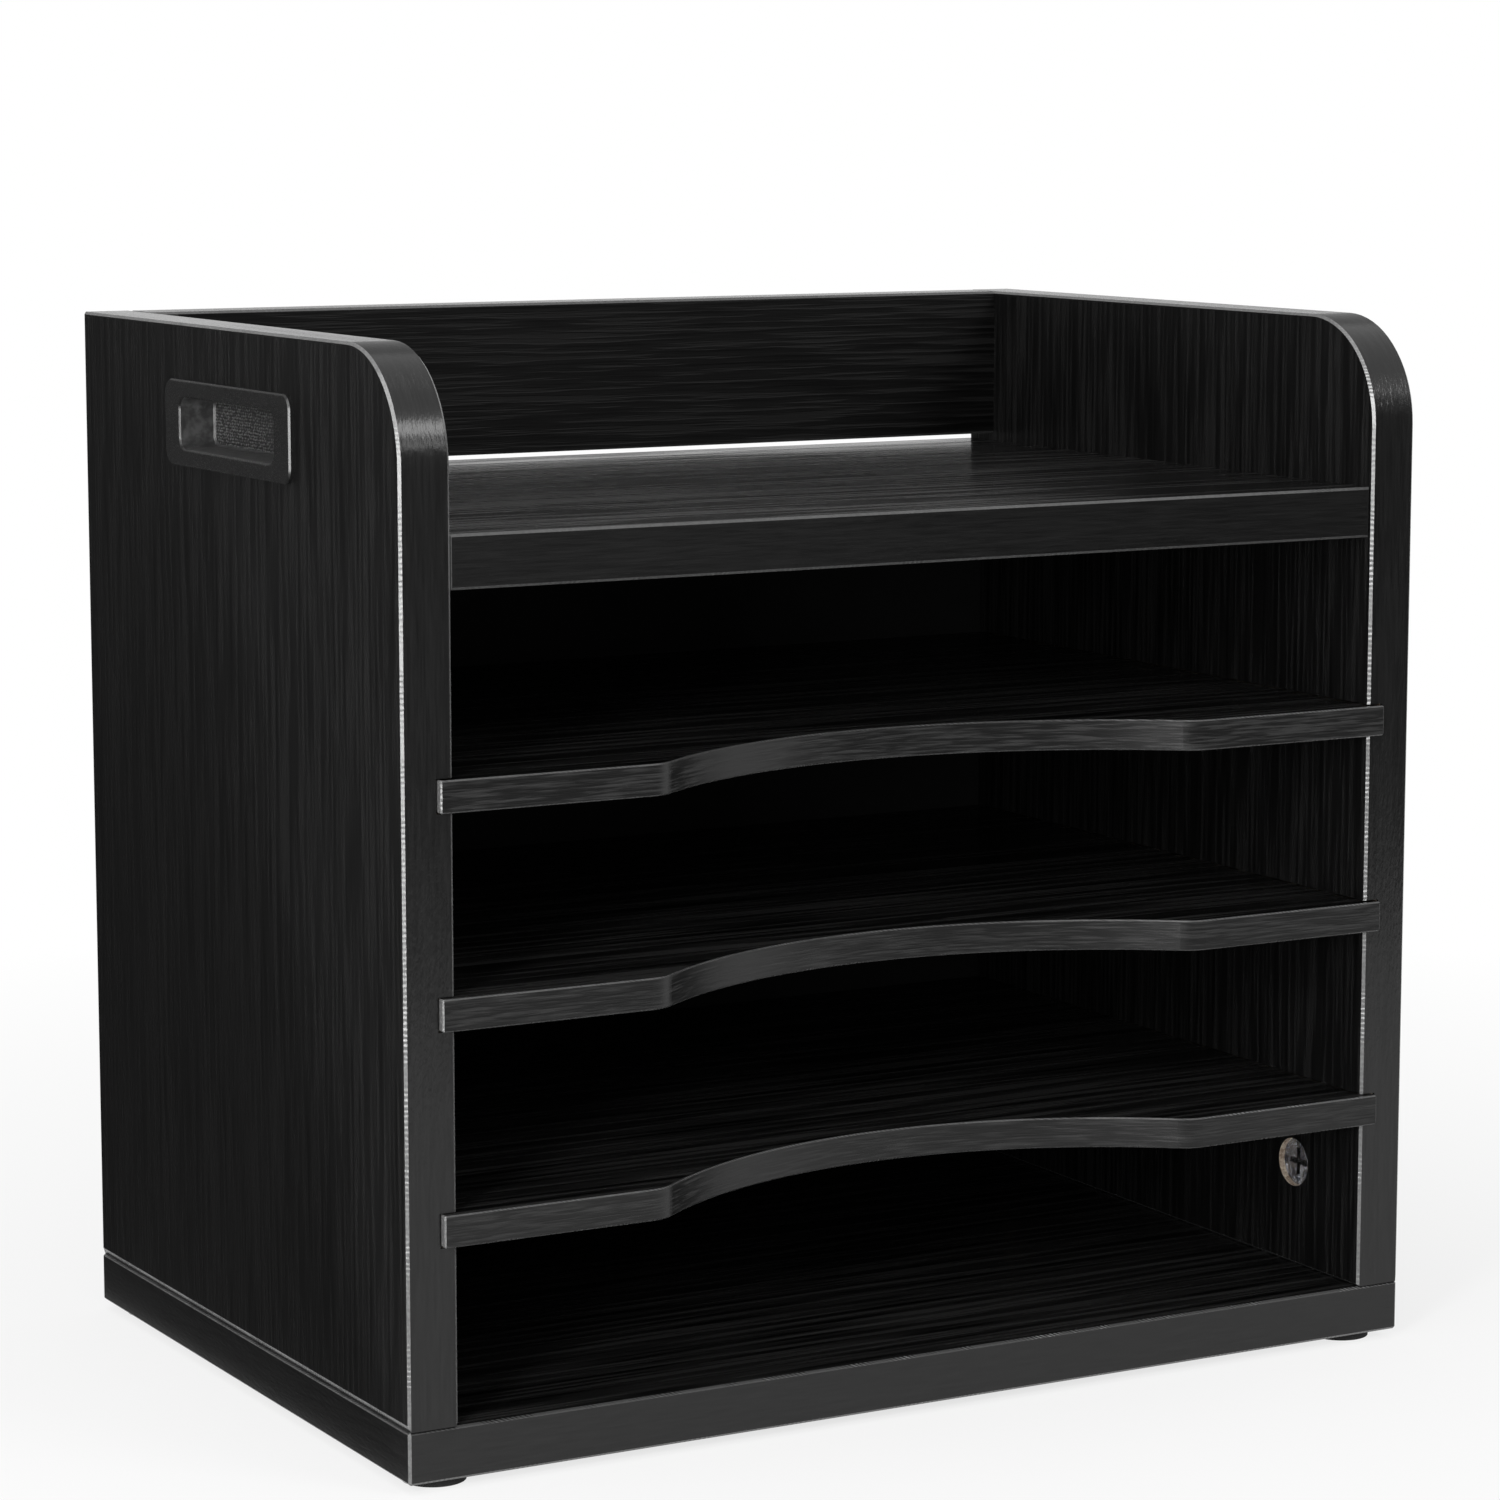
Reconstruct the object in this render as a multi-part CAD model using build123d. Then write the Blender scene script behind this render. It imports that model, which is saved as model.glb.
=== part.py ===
from build123d import *
import os

# Document rack in millimetres: X is the width, the front faces -Y, Z is up from the table top

# Boards of the carcass
carcass_width = 333
carcass_depth = 226
board = 15
edge_band = 1
bevel = 0.75
joint_bevel = 1.8
corner_radius = 32
bay_height = 50.5
tray_height = 50
top_shelf_recess = 1
rail_gap = 2.5

# Sliding shelves, from the bottom up
shelf_names = ("lower", "middle", "upper")
shelf_thickness = 9
shelf_overhang = 2
shelf_bevel = 0.4
groove_depth = 5
groove_clearance = 0.3
shelf_end_clearance = 0.5
shelf_rear_clearance = 0.5
notch_width = 176
notch_depth = 32
notch_corner_radius = 12

# Thin back panel, let into grooves all round
back_thickness = 3
back_inset = 4
back_groove_depth = 5
back_face_clearance = 0.15
back_edge_clearance = 0.5

# Recessed carrying handles in the side panels
handle_length = 90
handle_height = 25
handle_corner_radius = 4.5
handle_flange = 1.6
handle_bevel = 0.5
handle_drop = 28.8
pocket_length = 68
pocket_height = 15
pocket_corner_radius = 3.5
pocket_depth = 11
pocket_draft = 2.6
pocket_rim = 0.5
pocket_floor_bevel = 0.6
pocket_wall = 1.2
mortise_clearance = 0.15

# Cam locks and their bolts
bolt_reach = 32
cam_inset = 34
cam_hole_radius = 7.5
cam_clearance = 0.08
cam_floor = 2.5
cam_bottom_clearance = 0.3
cam_recess = 2
cavity_radius = 5
cavity_offset = 0.5
cross_length = 8.6
cross_width = 1.8
cross_depth = 1.3
pointer_length = 1.6
pointer_width = 2.4
pointer_depth = 0.5
pointer_rim = 0.7
cam_travel = 180
head_radius = 3.2
head_clearance = 0.4
head_start = 0.5
head_shoulder = 2.8
neck_radius = 2
neck_start = 3.8
neck_end = 9
neck_clearance = 0.3
neck_margin = 32
shank_radius = 3
bolt_hole_radius = 4
anchor_length = 10
anchor_clearance = 0.05
anchor_end_clearance = 0.5

# Wooden dowels that stop the back rail from turning on its bolts
dowel_radius = 4
dowel_deep = 20
dowel_shallow = 10
dowel_bevel = 0.8
dowel_clearance = 0.05
dowel_end_clearance = 0.5
rail_bolt_height = 16
rail_dowel_height = 36

# Feet under the base
foot_radius = 9
foot_height = 2.5
foot_side_inset = 13
foot_front_inset = 12

# One overrun for all cuts
overrun = 1

# Places worked out from the sizes above
half_width = carcass_width / 2
inner_half = half_width - board
rear = (carcass_depth + shelf_overhang) / 2
front = rear - carcass_depth
middle = (front + rear) / 2
shelf_front = front - shelf_overhang
base_bottom = foot_height
base_top = base_bottom + board
shelf_count = len(shelf_names)
shelf_pitch = bay_height + shelf_thickness
shelf_bottoms = [base_top + bay_height + shelf_pitch * step for step in range(shelf_count)]
top_shelf_bottom = shelf_bottoms[-1] + shelf_pitch
top_shelf_top = top_shelf_bottom + board
side_top = top_shelf_top + tray_height
rail_bottom = top_shelf_top + rail_gap
back_rear = rear - back_inset
back_front = back_rear - back_thickness
back_seat = back_groove_depth - back_edge_clearance
groove_end = back_front - back_face_clearance
shelf_half = inner_half + groove_depth - shelf_end_clearance
shelf_rear = back_front - shelf_rear_clearance
bolt_axis = board / 2
cup_depth = pocket_depth - handle_flange + pocket_wall
side_signs = {"left": -1, "right": 1}
cam_rows = {"front": front + cam_inset, "rear": rear - cam_inset}
quarter_turn = 90


def block(low, high):
    """A box between two opposite corners."""
    size = [end - start for start, end in zip(low, high)]
    return Pos(*low) * Box(*size, align=(Align.MIN, Align.MIN, Align.MIN))


def rim_edges(solid, axis):
    """The edges of a board's two end faces along an axis."""
    faces = solid.faces().sort_by(axis)
    return faces[0].edges() + faces[-1].edges()


def round_bar(radius, start, end):
    """A round bar along a plane's own Z axis."""
    return Pos(0, 0, start) * Cylinder(radius, end - start, align=(Align.CENTER, Align.CENTER, Align.MIN))


def bolt_frame(frame):
    """The bolt's own plane in a cam lock's plane: its Z axis runs from the cam to the other board."""
    return frame * Plane(origin=(0, 0, -bolt_axis), x_dir=(0, 1, 0), z_dir=(1, 0, 0))


def cam_frames():
    """Each cam lock's plane: origin on the board's face over the cam, X to the other board, Z out."""
    frames = {}
    for side, sign in side_signs.items():
        cam_x = sign * (inner_half - bolt_reach)
        for row, y in cam_rows.items():
            frames["base", side, row] = Plane(
                origin=(sign * inner_half, y, base_top + bolt_reach), x_dir=(0, 0, -1), z_dir=(-sign, 0, 0))
            frames["top_shelf", side, row] = Plane(
                origin=(cam_x, y, top_shelf_bottom), x_dir=(sign, 0, 0), z_dir=(0, 0, -1))
        frames["rail", side, "rear"] = Plane(
            origin=(cam_x, rear, top_shelf_top + rail_bolt_height), x_dir=(sign, 0, 0), z_dir=(0, 1, 0))
    return frames


def dowel_frames():
    """Each dowel's plane: origin on the joint of rail and side panel, Z into the rail."""
    frames = {}
    for side, sign in side_signs.items():
        frames[side] = Plane(
            origin=(sign * inner_half, rear - bolt_axis, top_shelf_top + rail_dowel_height),
            z_dir=(-sign, 0, 0))
    return frames


def cam_holes(joint, side):
    """Holes for the cams of one joint, and the bores that lead their bolts to them."""
    holes = []
    for (where, which, row), frame in CAMS.items():
        if (where, which) == (joint, side):
            holes.append(frame * round_bar(cam_hole_radius, cam_floor - board, overrun))
            holes.append(bolt_frame(frame) * round_bar(bolt_hole_radius, 0, bolt_reach + overrun))
    return holes


def anchor_holes(joint, side):
    """Blind holes that the bolts of one joint screw into."""
    end = bolt_reach + anchor_length + anchor_end_clearance
    hole = round_bar(shank_radius + anchor_clearance, bolt_reach - overrun, end)
    return [bolt_frame(frame) * hole for key, frame in CAMS.items() if key[:2] == (joint, side)]


def dowel_hole(side):
    """One dowel's hole, through the joint into both boards."""
    start = -dowel_shallow - dowel_end_clearance
    end = dowel_deep + dowel_end_clearance
    return DOWELS[side] * round_bar(dowel_radius + dowel_clearance, start, end)


def side_outline(front_edge, rear_edge, top_edge, radius):
    """A side panel's outline, with its top front corner rounded."""
    corner = CenterArc((front_edge + radius, top_edge - radius), radius, quarter_turn, quarter_turn)
    edges = Polyline(
        (front_edge, top_edge - radius), (front_edge, base_top), (rear_edge, base_top),
        (rear_edge, top_edge), (front_edge + radius, top_edge))
    return make_face([corner, edges])


def side_grooves():
    """Grooves in the left panel's inner face, for the sliding shelves and the back panel."""
    floor = -inner_half - groove_depth
    grooves = []
    for bottom in shelf_bottoms:
        grooves.append(block(
            (floor, front - overrun, bottom - groove_clearance),
            (-inner_half + overrun, groove_end, bottom + shelf_thickness + groove_clearance)))
    grooves.append(block(
        (-inner_half - back_groove_depth, groove_end, base_top - overrun),
        (-inner_half + overrun, back_rear + back_face_clearance, top_shelf_bottom + back_groove_depth)))
    return grooves


def handle_mortise():
    """The pocket in the left panel's outer face that takes the handle's cup."""
    grow = 2 * (pocket_wall + mortise_clearance)
    outline = RectangleRounded(
        pocket_length + grow, pocket_height + grow, pocket_corner_radius + pocket_wall + mortise_clearance)
    cut = extrude(outline, overrun) + extrude(outline, -cup_depth - mortise_clearance)
    return HANDLE * cut


def joint_cut():
    """The taller bevel that leaves a groove between the left panel's outer face and the base."""
    section = make_face(Polyline(
        (-half_width, base_top), (bevel - half_width, base_top), (-half_width, base_top + joint_bevel),
        (-half_width, base_top)))
    return extrude(Plane.XZ * section, carcass_depth, both=True)


def left_side():
    """The left side panel: its board, the band over its front, corner and top, and its rear band."""
    sheet = Plane.YZ.offset(-half_width)
    whole = extrude(sheet * side_outline(front, rear, side_top, corner_radius), board)
    whole = chamfer(rim_edges(whole, Axis.X), bevel)
    whole -= joint_cut()
    inner_front = front + edge_band
    inner_top = side_top - edge_band
    inner_radius = corner_radius - edge_band
    behind = extrude(sheet * side_outline(inner_front, rear, inner_top, inner_radius), board)
    inside = extrude(sheet * side_outline(inner_front, rear - edge_band, inner_top, inner_radius), board)
    grooves = side_grooves()
    holes = cam_holes("base", "left") + [handle_mortise(), dowel_hole("left")]
    for joint in ("top_shelf", "rail"):
        holes += anchor_holes(joint, "left")
    return {
        "side_panel": (whole & inside) - grooves - holes,
        "side_front_band": whole - behind - grooves,
        "side_rear_band": (whole & behind) - inside,
    }


def base_pieces():
    """The base board and the bands round its four edges."""
    whole = block((-half_width, front, base_bottom), (half_width, rear, base_top))
    whole = chamfer(whole.edges(), bevel)
    core_half = half_width - edge_band
    core_front = front + edge_band
    core_rear = rear - edge_band
    core = whole & block((-core_half, core_front, base_bottom), (core_half, core_rear, base_top))
    core -= block(
        (-inner_half - back_groove_depth, groove_end, base_top - back_groove_depth),
        (inner_half + back_groove_depth, back_rear + back_face_clearance, base_top + overrun))
    for side in side_signs:
        core -= anchor_holes("base", side)
    return {
        "base_board": core,
        "base_front_band": whole & block(
            (-half_width, front, base_bottom), (half_width, core_front, base_top)),
        "base_rear_band": whole & block((-half_width, core_rear, base_bottom), (half_width, rear, base_top)),
        "base_left_band": whole & block(
            (-half_width, core_front, base_bottom), (-core_half, core_rear, base_top)),
        "base_right_band": whole & block(
            (core_half, core_front, base_bottom), (half_width, core_rear, base_top)),
    }


def top_shelf_pieces():
    """The fixed top shelf, with a band on its front and rear edges."""
    shelf_face = front + top_shelf_recess
    whole = block((-inner_half, shelf_face, top_shelf_bottom), (inner_half, rear, top_shelf_top))
    whole = chamfer(rim_edges(whole, Axis.Y), bevel)
    core_front = shelf_face + edge_band
    core_rear = rear - edge_band
    core = whole & block((-inner_half, core_front, top_shelf_bottom), (inner_half, core_rear, top_shelf_top))
    core -= block(
        (-inner_half - overrun, groove_end, top_shelf_bottom - overrun),
        (inner_half + overrun, back_rear + back_face_clearance, top_shelf_bottom + back_groove_depth))
    for side in side_signs:
        core -= cam_holes("top_shelf", side)
    return {
        "top_shelf": core,
        "top_shelf_front_band": whole & block(
            (-inner_half, shelf_face, top_shelf_bottom), (inner_half, core_front, top_shelf_top)),
        "top_shelf_rear_band": whole & block(
            (-inner_half, core_rear, top_shelf_bottom), (inner_half, rear, top_shelf_top)),
    }


def back_pieces():
    """The rail behind the top tray, its top band, and the thin panel that closes the bays."""
    rail_front = rear - board
    whole = block((-inner_half, rail_front, rail_bottom), (inner_half, rear, side_top))
    whole = chamfer(rim_edges(whole, Axis.Z), bevel)
    rail = whole & block((-inner_half, rail_front, rail_bottom), (inner_half, rear, side_top - edge_band))
    for side in side_signs:
        rail -= cam_holes("rail", side) + [dowel_hole(side)]
    return {
        "back_rail": rail,
        "back_rail_top_band": whole & block(
            (-inner_half, rail_front, side_top - edge_band), (inner_half, rear, side_top)),
        "back_panel": block(
            (-inner_half - back_seat, back_front, base_top - back_seat),
            (inner_half + back_seat, back_rear, top_shelf_bottom + back_seat)),
    }


def shelf_outline(half, rear_edge):
    """Plan of a sliding shelf, with a bowed finger notch in the middle of its front edge."""
    notch_half = notch_width / 2
    edges = Polyline(
        (-notch_half, shelf_front), (-half, shelf_front), (-half, rear_edge),
        (half, rear_edge), (half, shelf_front), (notch_half, shelf_front))
    bow = ThreePointArc(
        (notch_half, shelf_front), (0, shelf_front + notch_depth), (-notch_half, shelf_front))
    plan = make_face([edges, bow])
    corners = [corner for corner in plan.vertices() if abs(corner.X) < notch_half + overrun]
    return fillet(corners, notch_corner_radius)


def sliding_shelf(bottom):
    """One sliding shelf and the band along its front edge."""
    sheet = Plane.XY.offset(bottom)
    plan = shelf_outline(shelf_half, shelf_rear)
    corners = [corner for corner in plan.vertices() if abs(corner.X) > inner_half and corner.Y < front]
    whole = extrude(sheet * chamfer(corners, shelf_bevel), shelf_thickness)
    whole = chamfer(rim_edges(whole, Axis.Z), shelf_bevel)
    wider = shelf_outline(shelf_half + edge_band, shelf_rear + edge_band)
    inside = extrude(sheet * offset(wider, -edge_band, kind=Kind.INTERSECTION), shelf_thickness)
    return {"shelf": whole & inside, "shelf_front_band": whole - inside}


def recessed_handle():
    """The left handle: a bevelled flange round a drafted finger pocket with eased edges, in one moulding."""
    plate = extrude(RectangleRounded(handle_length, handle_height, handle_corner_radius), handle_flange)
    plate = chamfer(plate.faces().sort_by(Axis.Z)[-1].edges(), handle_bevel)
    cup = extrude(RectangleRounded(
        pocket_length + 2 * pocket_wall, pocket_height + 2 * pocket_wall,
        pocket_corner_radius + pocket_wall), -cup_depth)
    mouth = RectangleRounded(pocket_length, pocket_height, pocket_corner_radius)
    pocket = extrude(mouth, -pocket_depth, taper=pocket_draft)
    pocket = chamfer(pocket.faces().sort_by(Axis.Z)[0].edges(), pocket_floor_bevel)
    whole = plate + cup - Pos(0, 0, handle_flange) * pocket
    rim = whole.faces().sort_by(Axis.Z)[-1].inner_wires()[0].edges()
    return HANDLE * chamfer(rim, pocket_rim)


def cam(frame):
    """A cam lock, shut: a slotted disc whose off-centre hollow hooks the bolt's head as it turns."""
    radius = cam_hole_radius - cam_clearance
    face = -cam_recess
    foot = cam_floor - board + cam_bottom_clearance
    disc = round_bar(radius, foot, face)
    hollow_top = head_radius + head_clearance - bolt_axis
    hollow = Pos(-cavity_offset, 0, 0) * round_bar(cavity_radius, foot - overrun, hollow_top)
    slot_half = neck_radius + neck_clearance
    slot_length = cam_hole_radius + overrun
    section = Pos(slot_length / 2, -bolt_axis) * Rectangle(slot_length, 2 * slot_half)
    slot = revolve(Plane.XZ * section, Axis.Z, cam_travel + 2 * neck_margin)
    slot = Rot(0, 0, -cam_travel - neck_margin) * slot
    port_half = head_radius + head_clearance
    port = block((-slot_length, -port_half, -bolt_axis - port_half), (0, port_half, -bolt_axis + port_half))
    bar = Rectangle(cross_length, cross_width)
    cross = Pos(0, 0, face) * extrude(bar + Rot(0, 0, quarter_turn) * bar, -cross_depth)
    tip = radius - pointer_rim
    arrow = make_face(Polyline(
        (tip, 0), (tip - pointer_length, pointer_width / 2), (tip - pointer_length, -pointer_width / 2),
        (tip, 0)))
    pointer = Pos(0, 0, face) * extrude(arrow, -pointer_depth)
    return frame * (disc - hollow - slot - port - cross - pointer)


def cam_bolt(frame):
    """A bolt that screws into one board and reaches into the other board's cam, turned in one piece."""
    tip = bolt_reach + anchor_length
    profile = make_face(Polyline(
        (0, head_start), (head_radius, head_start), (head_radius, head_shoulder), (neck_radius, neck_start),
        (neck_radius, neck_end), (shank_radius, neck_end), (shank_radius, tip), (0, tip), (0, head_start)))
    return bolt_frame(frame) * revolve(Plane.XZ * profile, Axis.Z)


def dowel(frame):
    """A wooden dowel with eased ends."""
    peg = round_bar(dowel_radius, -dowel_shallow, dowel_deep)
    ends = peg.edges().filter_by(GeomType.CIRCLE)
    return frame * chamfer(ends, dowel_bevel)


def foot(x, y):
    """A round pad stuck under the base."""
    return Pos(x, y, 0) * round_bar(foot_radius, 0, foot_height)


CAMS = cam_frames()
DOWELS = dowel_frames()
HANDLE = Plane(origin=(-half_width, middle, side_top - handle_drop), x_dir=(0, -1, 0), z_dir=(-1, 0, 0))

parts = {}
parts.update(base_pieces())
for name, piece in left_side().items():
    parts["left_" + name] = piece
    parts["right_" + name] = mirror(piece, about=Plane.YZ)
parts.update(top_shelf_pieces())
parts.update(back_pieces())
for level, bottom in zip(shelf_names, shelf_bottoms):
    for name, piece in sliding_shelf(bottom).items():
        parts[level + "_" + name] = piece
parts["left_handle"] = recessed_handle()
parts["right_handle"] = mirror(parts["left_handle"], about=Plane.YZ)
for (joint, side, row), frame in CAMS.items():
    parts["_".join((joint, side, row, "cam"))] = cam(frame)
parts["cam_bolts"] = Compound(children=[cam_bolt(frame) for frame in CAMS.values()])
parts["rail_dowels"] = Compound(children=[dowel(frame) for frame in DOWELS.values()])
for side, sign in side_signs.items():
    for end, y in (("front", front + foot_front_inset), ("rear", rear - foot_front_inset)):
        parts["_".join((side, end, "foot"))] = foot(sign * (half_width - foot_side_inset), y)

os.makedirs("parts", exist_ok=True)
for name, piece in parts.items():
    export_step(piece, "parts/" + name + ".step")
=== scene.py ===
import math

import bpy
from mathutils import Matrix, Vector


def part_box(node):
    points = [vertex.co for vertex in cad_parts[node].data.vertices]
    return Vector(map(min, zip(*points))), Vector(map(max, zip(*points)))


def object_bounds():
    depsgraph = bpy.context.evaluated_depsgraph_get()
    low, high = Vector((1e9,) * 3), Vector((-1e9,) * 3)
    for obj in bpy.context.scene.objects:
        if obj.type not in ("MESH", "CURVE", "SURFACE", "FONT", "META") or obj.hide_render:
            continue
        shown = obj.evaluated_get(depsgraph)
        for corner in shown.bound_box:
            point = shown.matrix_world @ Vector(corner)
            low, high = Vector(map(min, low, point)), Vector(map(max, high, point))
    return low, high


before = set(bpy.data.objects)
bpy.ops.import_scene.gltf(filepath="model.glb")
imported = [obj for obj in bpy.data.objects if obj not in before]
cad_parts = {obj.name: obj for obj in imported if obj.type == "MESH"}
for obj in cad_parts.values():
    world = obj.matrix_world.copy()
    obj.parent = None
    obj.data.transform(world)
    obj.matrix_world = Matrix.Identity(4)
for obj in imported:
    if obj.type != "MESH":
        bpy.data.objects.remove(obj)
cad_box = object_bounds()


def grey(value, warmth=0.0):
    """A grey, a little warmer or cooler where asked."""
    return (value * (1 + warmth), value, value * (1 - warmth), 1.0)


# Metres, in the part's own frame: X is the width, the front faces -Y, Z is up from the table top
X, Z = 0, 2

# The photograph's camera
CAMERA_PLACE = Vector((-0.6803, -1.2194, 0.3791))
CAMERA_YAW = math.radians(29.237)
CAMERA_PITCH = math.radians(8.145)
CAMERA_LENS = 111.13
CAMERA_SENSOR = 36.0

# Surroundings: the fill light, and a floor that fades to white with the distance from the object
WORLD_FILL = 0.35
FLOOR_SIZE = 14.0
FLOOR_DROP = 0.0002
FLOOR_FADE = (-1.6, 0.7)

# The point on the rack's left front edge that the left lamp faces
LEFT_EDGE = (-0.166, -0.112, 0.2)

# Wood grain: fibres across and along, broad flames, and how far both wander
FIBRE_WIDTH = 0.0015
LEVEL_FIBRE_WIDTH = 0.003
FIBRE_SHARE = 0.03
FLAME_WIDTH = 0.016
FLAME_SHARE = 0.05
FLAME_DIMMING = (0.6, 1.0)
WANDER_WIDTH = 0.07
WANDER = 0.0008
PORE_DEPTH = 0.0001

# Edge banding and its trimmed bevels
STREAK_WIDTH = 0.0006
STREAK_SHARE = 0.045
STREAK_DEPTH = 0.00008
RIPPLE_WIDTH = 0.0008
RIPPLE_SHARE = 0.25
RIPPLE_DEPTH = 0.00009
CHATTER_PITCH = 0.0015
CHATTER_DRIFT = 0.0045
CHATTER_RANGE = (0.1, 1.0)
CHATTER_DEPTH = 0.00004
PALE_SIZE = 0.001
PALE_RANGE = (0.65, 1.0)
# Painted shade: how near the base's top the trim goes dark, for the shadow in the joint's gap
JOINT_SHADE = (0.0002, 0.0010)

# Raw chipboard, moulded plastic, cast metal and foam rubber
CHIP_SIZE = 0.0009
DUST_SIZE = 0.00045
CHIP_DEPTH = 0.0002
SPARK_SIZE = 0.0003
SPARK_DEPTH = 0.00003
KNURL_PITCH = 0.0009
KNURL_SCATTER = 0.45
KNURL_DEPTH = 0.0004
# Painted light on the pocket's floor: where along Y the dots' painted highlights fade out
KNURL_LIGHT_SPAN = (-0.02, 0.035)
KNURL_LIGHT_RANGE = (0.3, 1.0)
BLOTCH_SIZE = 0.003
CAST_SIZE = 0.0012
PATCH_SIZE = 0.0036
CAST_DEPTH = 0.0011
CELL_SIZE = 0.0004

# Where each noise is cut before it is spread over its range
UNIT = (0.0, 1.0)
FALLING = (1.0, 0.0)
NOISE_CUT = (0.3, 0.7)
FIBRE_CUT = (0.35, 0.65)
PORE_CUT = (0.5, 0.62)
STREAK_CUT = (0.46, 0.68)
CHATTER_CUT = (0.4, 0.6)
PALE_CUT = (0.35, 0.65)
DUST_CUT = (0.3, 0.6)
DOT_CUT = (0.2, 0.5)
BLOTCH_CUT = (0.4, 0.65)
PATCH_CUT = (0.35, 0.75)

# The darkest and lightest tone of each finish
WHITE = grey(1.0)
FLOOR_TONES = (grey(0.87), grey(0.89))
UPRIGHT_TONES = (grey(0.0012), grey(0.0075, 0.01))
RAIL_TONES = (grey(0.0012), grey(0.0085, 0.01))
LEVEL_TONES = (grey(0.0012), grey(0.024, 0.01))
BAND_TONES = (grey(0.002), grey(0.008))
GRAINED_BAND_TONES = (grey(0.0006), grey(0.018))
TRIM_TONES = (grey(0.003), grey(0.17))
# Painted shade: the same pale trim, dimmed for the level boards' edges and the bevels that lean up or down
SHADED_TRIM_TONES = (grey(0.003), grey(0.07))
# Painted light: chipboard lightened beyond its own tone to make up for the shade in holes and grooves
LIGHTENED_CHIP_TONES = ((0.34, 0.24, 0.17, 1.0), (1.0, 0.9, 0.74, 1.0))
HARDBOARD_TONES = (grey(0.006), grey(0.01))
PLASTIC_TONES = (grey(0.006), grey(0.009))
# the knurl's light tone is a painted highlight on the raised dots
KNURL_TONES = (grey(0.004), grey(0.16))
SCUFF_TONES = (grey(0.02), grey(0.06))
# Painted shade: the zinc's dark tone stands in for the dark bay that a cam's face mirrors
ZINC_TONES = ((0.06, 0.065, 0.09, 1.0), (0.55, 0.56, 0.59, 1.0))
# Painted shade: the darker zinc in the cams' slots
SLOT_SHADE_TONES = (grey(0.02), grey(0.06))
STEEL_TONES = (grey(0.45), grey(0.65, -0.02))
BEECH_TONES = ((0.42, 0.25, 0.13, 1.0), (0.68, 0.48, 0.30, 1.0))
RUBBER_TONES = (grey(0.006), grey(0.02))

# The roughness of each finish where its noise is lowest and highest
BOARD_ROUGH = (0.42, 0.62)
LEVEL_ROUGH = (0.2, 0.34)
BAND_ROUGH = (0.17, 0.23)
MATT_BAND_ROUGH = (0.4, 0.5)
GRAINED_BAND_ROUGH = (0.3, 0.45)
HARDBOARD_ROUGH = (0.5, 0.65)
PLASTIC_ROUGH = (0.2, 0.3)
KNURL_ROUGH = (0.5, 0.3)
ZINC_ROUGH = (0.12, 0.3)
STEEL_ROUGH = (0.25, 0.4)
BEECH_ROUGH = (0.5, 0.7)

# How polygons are told apart: bevels near an edge, flat faces, pocket walls, shelf ends and cam slots
BEVEL_COSINE = 0.95
FLAT_COSINE = 0.999
WALL_COSINE = 0.5
NEAR = 0.0001
EDGE_REACH = 0.0015
END_MARGIN = 0.001
SHELF_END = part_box("upper_shelf_front_band")[1].x - END_MARGIN
BASE_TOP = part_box("base_board")[1].z
CAM_SLOT_REACH = 0.0045


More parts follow.
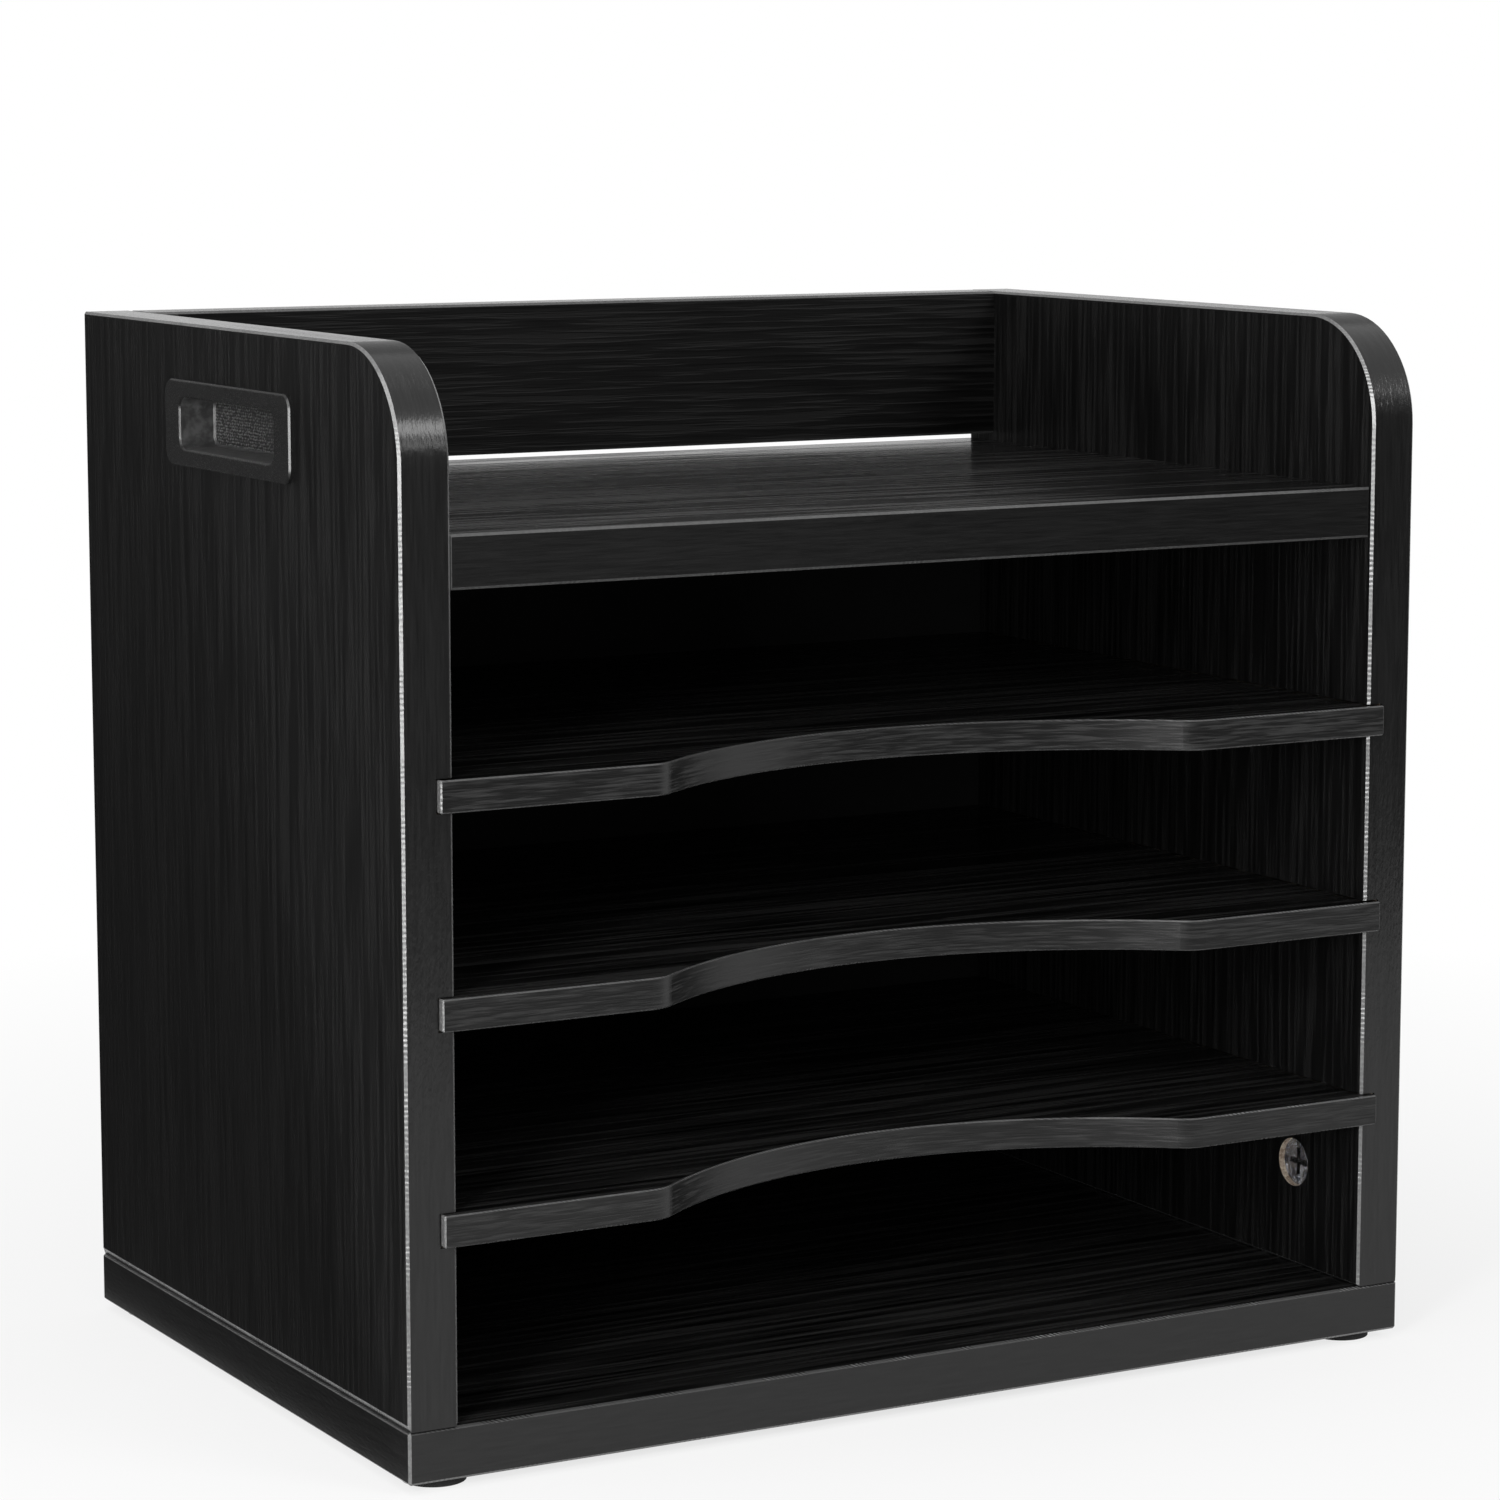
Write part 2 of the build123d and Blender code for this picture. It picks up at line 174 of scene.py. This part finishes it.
class Paint:
    """One procedural material: its node tree and its Principled shader."""

    def __init__(self, name, **uniform):
        self.material = bpy.data.materials.new(name)
        self.material.use_nodes = True
        self.tree = self.material.node_tree
        self.shader = self.tree.nodes["Principled BSDF"]
        for socket, value in uniform.items():
            self.shader.inputs[socket.replace("_", " ")].default_value = value

    def node(self, kind, inputs, output=0, **settings):
        """A node's output, where each input is a value or another output."""
        made = self.tree.nodes.new("ShaderNode" + kind)
        for name, value in settings.items():
            setattr(made, name, value)
        for name, value in inputs.items():
            if isinstance(value, bpy.types.NodeSocket):
                self.tree.links.new(value, made.inputs[name])
            else:
                made.inputs[name].default_value = value
        return made.outputs[output]

    def place(self):
        """The point on the piece, in metres."""
        return self.node("TexCoord", {}, output="Object")

    def coordinate(self, place, axis):
        """One coordinate of a point."""
        return self.node("SeparateXYZ", {"Vector": place}, output=axis)

    def vector(self, operation, *values):
        """A sum on points."""
        return self.node("VectorMath", dict(enumerate(values)), operation=operation)

    def math(self, operation, *values):
        """A sum on numbers."""
        return self.node("Math", dict(enumerate(values)), operation=operation)

    def noise(self, place, size, detail=2.0, output="Fac"):
        """A cloudy noise whose largest forms have the size given."""
        inputs = {"Vector": place, "Scale": 1 / size, "Detail": detail, "Roughness": 0.6}
        return self.node("TexNoise", inputs, output=output)

    def cells(self, place, size, scatter=1.0, output="Distance"):
        """A pattern of cells, in rows where they are scattered less."""
        inputs = {"Vector": place, "Scale": 1 / size, "Randomness": scatter}
        return self.node("TexVoronoi", inputs, output=output)

    def remap(self, value, cut=UNIT, to=UNIT):
        """A value between two cuts, spread over another range."""
        inputs = {"Value": value, "From Min": cut[0], "From Max": cut[1], "To Min": to[0], "To Max": to[1]}
        return self.node("MapRange", inputs)

    def mix(self, share, low, high):
        """A colour between two others."""
        return self.node("MixRGB", {"Fac": share, "Color1": low, "Color2": high})

    def drawn(self, place, along, share):
        """A point for a texture that is drawn out along the axes named."""
        return self.vector("MULTIPLY", place, [share if axis in along else 1.0 for axis in "XYZ"])

    def wandering(self, along):
        """The point on the piece, moved so that a grain along the axes named wanders."""
        place = self.place()
        slow = self.drawn(place, along, FLAME_SHARE)
        drift = self.noise(slow, WANDER_WIDTH, detail=1.0, output="Color")
        return self.vector("MULTIPLY_ADD", drift, (WANDER,) * 3, place)

    def flames(self, place, along):
        """The broad figure of a grain."""
        return self.noise(self.drawn(place, along, FLAME_SHARE), FLAME_WIDTH)

    def drive(self, socket, value):
        """Links an output to the shader."""
        self.tree.links.new(value, self.shader.inputs[socket])

    def bump(self, height, depth):
        """Gives the surface a relief."""
        self.drive("Normal", self.node("Bump", {"Height": height, "Distance": depth, "Strength": 1.0}))

    def replace_shader(self, output):
        """Sends another shader to the surface."""
        self.tree.links.new(output, self.tree.nodes["Material Output"].inputs["Surface"])


def grain_board(name, along, width, tones, rough):
    """Black laminate with an embossed wood grain along one axis."""
    paint = Paint(name, Specular_IOR_Level=0.12)
    place = paint.wandering(along)
    fibre = paint.noise(paint.drawn(place, along, FIBRE_SHARE), width)
    pores = paint.remap(fibre, PORE_CUT)
    dimming = paint.remap(paint.flames(place, along), NOISE_CUT, to=FLAME_DIMMING)
    light = paint.math("MULTIPLY", paint.remap(fibre, FIBRE_CUT), dimming)
    paint.drive("Base Color", paint.mix(light, *tones))
    paint.drive("Roughness", paint.remap(pores, to=rough))
    paint.bump(paint.math("SUBTRACT", fibre, pores), PORE_DEPTH)
    return paint.material


def edge_band(name, along, shine, rough):
    """Black edge banding: a faint streak along it and short ripples that fray its highlights."""
    paint = Paint(name, Specular_IOR_Level=shine)
    place = paint.wandering(along)
    streak = paint.noise(paint.drawn(place, along, STREAK_SHARE), STREAK_WIDTH)
    ripple = paint.noise(paint.drawn(paint.place(), along, RIPPLE_SHARE), RIPPLE_WIDTH)
    paint.drive("Base Color", paint.mix(paint.remap(streak, NOISE_CUT), *BAND_TONES))
    paint.drive("Roughness", paint.remap(paint.flames(place, along), NOISE_CUT, to=rough))
    paint.bump(ripple, RIPPLE_DEPTH)
    return paint.material


def grained_band(name):
    """Edge banding with a bolder streak that follows the sliding shelves' front edges."""
    paint = Paint(name, Specular_IOR_Level=0.4)
    along = "XY"
    streak = paint.noise(paint.drawn(paint.wandering(along), along, STREAK_SHARE), STREAK_WIDTH)
    paint.drive("Base Color", paint.mix(paint.remap(streak, STREAK_CUT), *GRAINED_BAND_TONES))
    paint.drive("Roughness", paint.remap(paint.remap(streak, PORE_CUT), to=GRAINED_BAND_ROUGH))
    paint.bump(streak, STREAK_DEPTH)
    return paint.material


def trimmed_edge(name, tones):
    """A trimmed bevel: paler than its face, with the cutter's marks, and painted shade in the joint over the
    base.
    """
    paint = Paint(name, Specular_IOR_Level=0.55, Roughness=0.24)
    place = paint.place()
    run = paint.node("VectorMath", {0: place, 1: (1.0, 1.0, 1.0)}, output="Value", operation="DOT_PRODUCT")
    drift = paint.noise(place, CHATTER_DRIFT)
    turns = paint.math("ADD", paint.math("DIVIDE", run, CHATTER_PITCH), drift)
    wave = paint.math("SINE", paint.math("MULTIPLY", turns, 2 * math.pi))
    deep = paint.remap(paint.noise(place, FLAME_WIDTH), CHATTER_CUT, to=CHATTER_RANGE)
    pale = paint.remap(paint.noise(place, PALE_SIZE, detail=3.0), PALE_CUT, to=PALE_RANGE)
    # Painted shade: the trim darkens towards the base's top, where the joint's gap would be in shadow
    over_base = paint.math("SUBTRACT", paint.coordinate(place, "Z"), BASE_TOP)
    clear_of_joint_shade = paint.remap(paint.math("ABSOLUTE", over_base), JOINT_SHADE)
    paint.drive("Base Color", paint.mix(paint.math("MULTIPLY", clear_of_joint_shade, pale), *tones))
    paint.bump(paint.math("MULTIPLY", wave, deep), CHATTER_DEPTH)
    return paint.material


def chipboard(name):
    """Raw chipboard, as inside a drilled hole or a sawn groove, painted lighter to make up for the shade
    there.
    """
    paint = Paint(name, Specular_IOR_Level=0.2, Roughness=0.85)
    place = paint.place()
    chips = paint.node("SeparateColor", {"Color": paint.cells(place, CHIP_SIZE, output="Color")})
    dust = paint.noise(place, DUST_SIZE)
    light = paint.math("MULTIPLY", chips, paint.remap(dust, DUST_CUT))
    paint.drive("Base Color", paint.mix(light, *LIGHTENED_CHIP_TONES))
    paint.bump(dust, CHIP_DEPTH)
    return paint.material


def hardboard(name):
    """Painted hardboard with a faint fibre under the paint."""
    paint = Paint(name, Specular_IOR_Level=0.15)
    place = paint.place()
    felt = paint.noise(place, FIBRE_WIDTH, detail=4.0)
    paint.drive("Base Color", paint.mix(paint.noise(place, FLAME_WIDTH), *HARDBOARD_TONES))
    paint.drive("Roughness", paint.remap(felt, NOISE_CUT, to=HARDBOARD_ROUGH))
    paint.bump(felt, PORE_DEPTH)
    return paint.material


def moulded_plastic(name):
    """Black moulded plastic with a fine spark-eroded finish."""
    paint = Paint(name, Specular_IOR_Level=0.4)
    place = paint.place()
    spark = paint.noise(place, SPARK_SIZE, detail=3.0)
    paint.drive("Base Color", paint.mix(paint.noise(place, FLAME_WIDTH), *PLASTIC_TONES))
    paint.drive("Roughness", paint.remap(spark, NOISE_CUT, to=PLASTIC_ROUGH))
    paint.bump(spark, SPARK_DEPTH)
    return paint.material


def knurled_plastic(name):
    """The pocket's floor: rows of fine raised dots in the same plastic, painted pale as highlights, with
    painted light palest at the pocket's rear.
    """
    paint = Paint(name, Specular_IOR_Level=0.5)
    place = paint.place()
    raised = paint.remap(paint.cells(place, KNURL_PITCH, KNURL_SCATTER), DOT_CUT, to=FALLING)
    # Painted light: the dots are palest at the pocket's rear and dimmer towards its front
    painted_light = paint.remap(paint.coordinate(place, "Y"), KNURL_LIGHT_SPAN, to=KNURL_LIGHT_RANGE)
    paint.drive("Base Color", paint.mix(paint.math("MULTIPLY", raised, painted_light), *KNURL_TONES))
    paint.drive("Roughness", paint.remap(raised, to=KNURL_ROUGH))
    paint.bump(raised, KNURL_DEPTH)
    return paint.material


def scuffed_plastic(name):
    """The pocket's walls: the same plastic, greyed in blotches by fingers."""
    paint = Paint(name, Specular_IOR_Level=0.4, Roughness=0.4)
    place = paint.place()
    blotch = paint.noise(place, BLOTCH_SIZE, detail=3.0)
    paint.drive("Base Color", paint.mix(paint.remap(blotch, BLOTCH_CUT), *SCUFF_TONES))
    paint.bump(paint.noise(place, SPARK_SIZE, detail=3.0), SPARK_DEPTH)
    return paint.material


def cast_zinc(name, tones):
    """Die-cast zinc, a little uneven, darkened in patches with painted shade for the dark bay that its face
    mirrors.
    """
    paint = Paint(name, Metallic=1.0)
    place = paint.place()
    grain = paint.noise(place, CAST_SIZE, detail=4.0)
    patchy_tone = paint.noise(place, PATCH_SIZE)
    paint.drive("Base Color", paint.mix(paint.remap(patchy_tone, PATCH_CUT), *tones))
    paint.drive("Roughness", paint.remap(grain, NOISE_CUT, to=ZINC_ROUGH))
    paint.bump(grain, CAST_DEPTH)
    return paint.material


def plated_steel(name):
    """Zinc-plated steel."""
    paint = Paint(name, Metallic=1.0)
    grain = paint.noise(paint.place(), CAST_SIZE, detail=3.0)
    paint.drive("Base Color", paint.mix(grain, *STEEL_TONES))
    paint.drive("Roughness", paint.remap(grain, NOISE_CUT, to=STEEL_ROUGH))
    paint.bump(grain, CAST_DEPTH)
    return paint.material


def beech(name):
    """Turned beech with its grain along X."""
    paint = Paint(name, Specular_IOR_Level=0.3)
    along = "X"
    fibre = paint.noise(paint.drawn(paint.wandering(along), along, FIBRE_SHARE), FIBRE_WIDTH)
    paint.drive("Base Color", paint.mix(fibre, *BEECH_TONES))
    paint.drive("Roughness", paint.remap(paint.remap(fibre, PORE_CUT), to=BEECH_ROUGH))
    paint.bump(fibre, PORE_DEPTH)
    return paint.material


def foam_rubber(name):
    """Matt black foam rubber with closed cells."""
    paint = Paint(name, Specular_IOR_Level=0.3, Roughness=0.8)
    cells = paint.cells(paint.place(), CELL_SIZE)
    paint.drive("Base Color", paint.mix(cells, *RUBBER_TONES))
    paint.bump(cells, SPARK_DEPTH)
    return paint.material


def make_finishes():
    """Every material of the part, by a short name."""
    return {
        "upright": grain_board("upright_grain_board", "Z", FIBRE_WIDTH, UPRIGHT_TONES, BOARD_ROUGH),
        "rail": grain_board("rail_grain_board", "X", FIBRE_WIDTH, RAIL_TONES, BOARD_ROUGH),
        "level": grain_board("level_grain_board", "X", LEVEL_FIBRE_WIDTH, LEVEL_TONES, LEVEL_ROUGH),
        "upright_band": edge_band("upright_edge_band", "YZ", shine=0.42, rough=BAND_ROUGH),
        "level_band": edge_band("level_edge_band", "X", shine=0.42, rough=BAND_ROUGH),
        "matt_band": edge_band("matt_edge_band", "Y", shine=0.12, rough=MATT_BAND_ROUGH),
        "grained_band": grained_band("grained_edge_band"),
        "trim": trimmed_edge("trimmed_edge", TRIM_TONES),
        # a copy of the trim dimmed with painted shade
        "shaded_trim": trimmed_edge("shaded_trimmed_edge", SHADED_TRIM_TONES),
        "raw": chipboard("raw_chipboard"),
        "hardboard": hardboard("black_hardboard"),
        "plastic": moulded_plastic("black_moulded_plastic"),
        "knurl": knurled_plastic("knurled_plastic"),
        "scuffed": scuffed_plastic("scuffed_plastic"),
        "zinc": cast_zinc("cast_zinc", ZINC_TONES),
        "slot_shaded": cast_zinc("slot_shaded_zinc", SLOT_SHADE_TONES),
        "steel": plated_steel("plated_steel"),
        "beech": beech("beech"),
        "rubber": foam_rubber("black_foam_rubber"),
    }


def dress(name, *materials, pick=None):
    """Gives a CAD node its materials; pick says which of them a polygon takes."""
    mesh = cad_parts[name].data
    mesh.materials.clear()
    for material in materials:
        mesh.materials.append(material)
    for polygon in mesh.polygons:
        polygon.material_index = int(pick(polygon)) if pick else 0


def leans(polygon, axis):
    """True where a polygon's normal lies neither along an axis nor across it."""
    return 1 - BEVEL_COSINE < abs(polygon.normal[axis]) < BEVEL_COSINE


def leans_sideways(polygon):
    """True where a polygon leans to the left or right, as the bevels of a side panel's edge do."""
    return leans(polygon, X)


def is_bevel(polygon):
    """True where a polygon's normal lies along no axis."""
    return max(abs(part) for part in polygon.normal) < BEVEL_COSINE


def is_side_bevel(polygon):
    """True on a bevel that leans to the left or right."""
    return is_bevel(polygon) and leans_sideways(polygon)


def edge_bevel(name):
    """A test for the bevels along a node's outer edges, which the round walls of its drilled holes fail."""
    low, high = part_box(name)

    def test(polygon):
        gaps = [min(place - start, end - place) for place, start, end in zip(polygon.center, low, high)]
        return is_bevel(polygon) and sum(gap < EDGE_REACH for gap in gaps) >= 2
    return test


def outside(name):
    """A test for polygons on the outer faces of a node's box, where the laminate is."""
    low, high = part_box(name)

    def test(polygon):
        for axis, part in enumerate(polygon.normal):
            if abs(part) > FLAT_COSINE:
                place = polygon.center[axis]
                return min(abs(place - low[axis]), abs(place - high[axis])) < NEAR
        return False
    return test


def board_pick(name, is_trim):
    """Picks a board's laminate, the raw board in its cuts, or the trim where the test says so."""
    laminate = outside(name)
    return lambda polygon: 0 if laminate(polygon) else 2 if is_trim(polygon) else 1


def band_pick(polygon):
    """Picks a band's face, its bevels, or those of them that lean to the left or right."""
    return is_bevel(polygon) + is_side_bevel(polygon)


def shelf_pick(polygon):
    """Picks a sliding shelf's face, its bevels, which lean up or down, or its sawn ends."""
    return 2 if abs(polygon.center.x) > SHELF_END else leans(polygon, Z)


def cam_pick(name):
    """Picks the walls and floors of a cam's slots, near its middle and below its face, which take painted
    shade.
    """
    low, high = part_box(name)
    middle = (low + high) / 2
    size = high - low
    axis = min(range(3), key=lambda index: size[index])
    face = outside(name)

    def pick(polygon):
        out = polygon.center - middle
        out[axis] = 0.0
        return out.length < CAM_SLOT_REACH and not face(polygon)
    return pick


def handle_pick(name):
    """Picks the knurled floor and the scuffed walls of a handle's pocket."""
    low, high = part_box(name)
    middle = (low + high) / 2

    def pick(polygon):
        deep = abs(polygon.center.x) < abs(middle.x)
        if abs(polygon.normal.x) > FLAT_COSINE:
            return deep and polygon.normal.x * middle.x > 0
        out = polygon.center - middle
        inward = out.y * polygon.normal.y + out.z * polygon.normal.z < 0
        return 2 if inward and (deep or abs(polygon.normal.x) < WALL_COSINE) else 0
    return pick


def dress_sides(finish):
    """Both side panels with their bands and handles, and the pads below them."""
    for side in ("left", "right"):
        panel = side + "_side_panel"
        dress(panel, finish["upright"], finish["raw"], finish["trim"], pick=board_pick(panel, is_side_bevel))
        for edge in ("front", "rear"):
            dress(f"{side}_side_{edge}_band", finish["upright_band"], finish["trim"], pick=leans_sideways)
            dress(f"{side}_{edge}_foot", finish["rubber"])
        handle = side + "_handle"
        dress(handle, finish["plastic"], finish["knurl"], finish["scuffed"], pick=handle_pick(handle))


def dress_boards(finish):
    """The base, the fixed shelf and the rail with the bands on their edges, and the back panel."""
    for name in ("base_board", "top_shelf", "back_rail"):
        face = finish["rail" if name == "back_rail" else "level"]
        dress(name, face, finish["raw"], finish["shaded_trim"], pick=board_pick(name, edge_bevel(name)))
    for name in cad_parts:
        if name.startswith(("base_", "top_shelf_", "back_rail_")) and name.endswith("_band"):
            face = finish["matt_band" if name in ("base_left_band", "base_right_band") else "level_band"]
            side_trim = finish["trim" if name.startswith("base_") else "shaded_trim"]
            dress(name, face, finish["shaded_trim"], side_trim, pick=band_pick)
    dress("back_panel", finish["hardboard"])


def dress_shelves(finish):
    """The three sliding shelves with their bands."""
    for shelf in ("lower_shelf", "middle_shelf", "upper_shelf"):
        dress(shelf, finish["level"], finish["shaded_trim"], finish["trim"], pick=shelf_pick)
        band = shelf + "_front_band"
        dress(band, finish["grained_band"], finish["shaded_trim"], finish["trim"], pick=shelf_pick)


def dress_fittings(finish):
    """The cam locks, their bolts and the dowels."""
    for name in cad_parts:
        if name.endswith("_cam"):
            # the cams' slots get painted shade
            dress(name, finish["zinc"], finish["slot_shaded"], pick=cam_pick(name))
    dress("cam_bolts", finish["steel"])
    dress("rail_dowels", finish["beech"])


def seen_rays(tree):
    """1 for rays from the camera, off a gloss or through glass, and 0 for those that carry light."""
    path = tree.nodes.new("ShaderNodeLightPath")
    seen = path.outputs["Is Camera Ray"]
    for kind in ("Is Glossy Ray", "Is Transmission Ray"):
        either = tree.nodes.new("ShaderNodeMath")
        either.operation = "MAXIMUM"
        tree.links.new(seen, either.inputs[0])
        tree.links.new(path.outputs[kind], either.inputs[1])
        seen = either.outputs[0]
    return seen


def make_world():
    """White surroundings for what is seen and mirrored, and a soft fill for the rest."""
    world = bpy.data.worlds.new("studio")
    world.use_nodes = True
    tree = world.node_tree
    strength = tree.nodes.new("ShaderNodeMapRange")
    strength.inputs["To Min"].default_value = WORLD_FILL
    tree.links.new(seen_rays(tree), strength.inputs["Value"])
    background = tree.nodes["Background"]
    background.inputs["Color"].default_value = WHITE
    tree.links.new(strength.outputs["Result"], background.inputs["Strength"])
    world.cycles.sampling_method = "NONE"
    bpy.context.scene.world = world


def quad(name, corners, paint):
    """A four-cornered sheet whose glow, if it has one, isn't a lamp."""
    mesh = bpy.data.meshes.new(name)
    mesh.from_pydata(corners, [], [(0, 1, 2, 3)])
    mesh.materials.append(paint.material)
    paint.material.cycles.emission_sampling = "NONE"
    sheet = bpy.data.objects.new(name, mesh)
    bpy.context.scene.collection.objects.link(sheet)
    return sheet


def make_floor():
    """A pale floor that keeps the shadow near the object and fades to white around it."""
    paint = Paint("pale_floor", Roughness=0.9, Specular_IOR_Level=0.0)
    place = paint.place()
    paint.drive("Base Color", paint.mix(paint.noise(place, CHIP_SIZE), *FLOOR_TONES))
    away = paint.node("VectorMath", {0: place}, output="Value", operation="LENGTH")
    share = paint.math("MULTIPLY", seen_rays(paint.tree), paint.remap(away, FLOOR_FADE))
    glow = paint.node("Emission", {"Color": WHITE, "Strength": 1.0})
    paint.replace_shader(paint.node("MixShader", {0: share, 1: paint.shader.outputs[0], 2: glow}))
    half = FLOOR_SIZE / 2
    plan = ((-half, -half), (half, -half), (half, half), (-half, half))
    floor = quad("floor", [(*corner, -FLOOR_DROP) for corner in plan], paint)


def soft_box(name, place, aim, width, height, radiance):
    """A rectangular lamp that faces a point, with its radiance given where white is 1."""
    lamp = bpy.data.lights.new(name, "AREA")
    lamp.shape = "RECTANGLE"
    lamp.size = width
    lamp.size_y = height
    lamp.energy = radiance * width * height * math.pi
    box = bpy.data.objects.new(name, lamp)
    box.location = place
    box.rotation_euler = (Vector(aim) - Vector(place)).to_track_quat("-Z", "Y").to_euler()
    box.visible_camera = False
    bpy.context.scene.collection.objects.link(box)


def make_lamps():
    """A large box overhead, a tall strip at the left front, and a box over a thin strip at the right."""
    centre = (cad_box[0] + cad_box[1]) / 2
    corner = (cad_box[0].x, cad_box[0].y, cad_box[1].z)
    soft_box("overhead", place=(-0.35, -0.1, 1.5), aim=centre, width=1.0, height=1.2, radiance=1.6)
    soft_box("left_strip", place=(-0.98, -0.85, 0.48), aim=LEFT_EDGE, width=0.22, height=0.7, radiance=24.0)
    soft_box("right_box", place=(0.65, -1.35, 1.1), aim=corner, width=0.6, height=0.42, radiance=8.0)
    soft_box("right_strip", place=(0.56, -1.35, 0.685), aim=corner, width=0.6, height=0.07, radiance=8.0)


def upright(start, end, low, high):
    """The corners of an upright sheet between two places on the plan and two heights."""
    return [(*start, low), (*end, low), (*end, high), (*start, high)]


def gloss_card(name, corners, radiance):
    """A card that shows only in reflections: a dim one keeps a glossy face dark, a bright one lights it."""
    paint = Paint(name)
    paint.replace_shader(paint.node("Emission", {"Color": WHITE, "Strength": radiance}))
    card = quad(name, corners, paint)
    card.visible_camera = False
    card.visible_diffuse = False
    card.visible_shadow = False
    card.visible_transmission = False


def make_cards():
    """Dim cards beside, behind and before the rack, and two bright ones at its left."""
    leaning = [(-0.172, -0.11, 0.0), (-0.9, 0.25, 1.2), (-0.9, 1.6, 1.2), (-0.172, 1.6, 0.0)]
    gloss_card("left_card", leaning, radiance=0.105)
    gloss_card("rear_card", upright((-0.9, 1.6), (-0.12, 1.6), low=0.2, high=1.3), radiance=0.6)
    gloss_card("back_card", upright((-0.4, 0.6), (1.3, 0.6), low=0.39, high=1.2), radiance=0.4)
    gloss_card("left_glow", upright((-0.6, -0.42), (-0.6, 0.05), low=0.46, high=0.95), radiance=5.0)
    gloss_card("rim_glow", upright((-1.0, -0.52), (-1.0, -0.18), low=0.0, high=0.5), radiance=18.0)
    gloss_card("front_card", upright((-0.3, -0.75), (0.36, -0.75), low=0.0, high=0.4), radiance=0.24)
    gloss_card("right_card", upright((0.36, -0.75), (1.0, -0.75), low=0.0, high=0.4), radiance=0.13)
    gloss_card("far_card", upright((-0.4, -1.5), (1.8, -1.5), low=0.3, high=1.0), radiance=0.3)


def make_camera():
    """The photograph's viewpoint, with no shift and no depth of field."""
    lens = bpy.data.cameras.new("camera")
    lens.sensor_width = CAMERA_SENSOR
    lens.lens = CAMERA_LENS
    camera = bpy.data.objects.new("camera", lens)
    camera.location = CAMERA_PLACE
    camera.rotation_euler = (math.pi / 2 - CAMERA_PITCH, 0.0, -CAMERA_YAW)
    bpy.context.scene.collection.objects.link(camera)
    bpy.context.scene.camera = camera


bpy.context.scene.view_settings.view_transform = "Standard"
finishes = make_finishes()
dress_sides(finishes)
dress_boards(finishes)
dress_shelves(finishes)
dress_fittings(finishes)
make_world()
make_floor()
make_lamps()
make_cards()
make_camera()
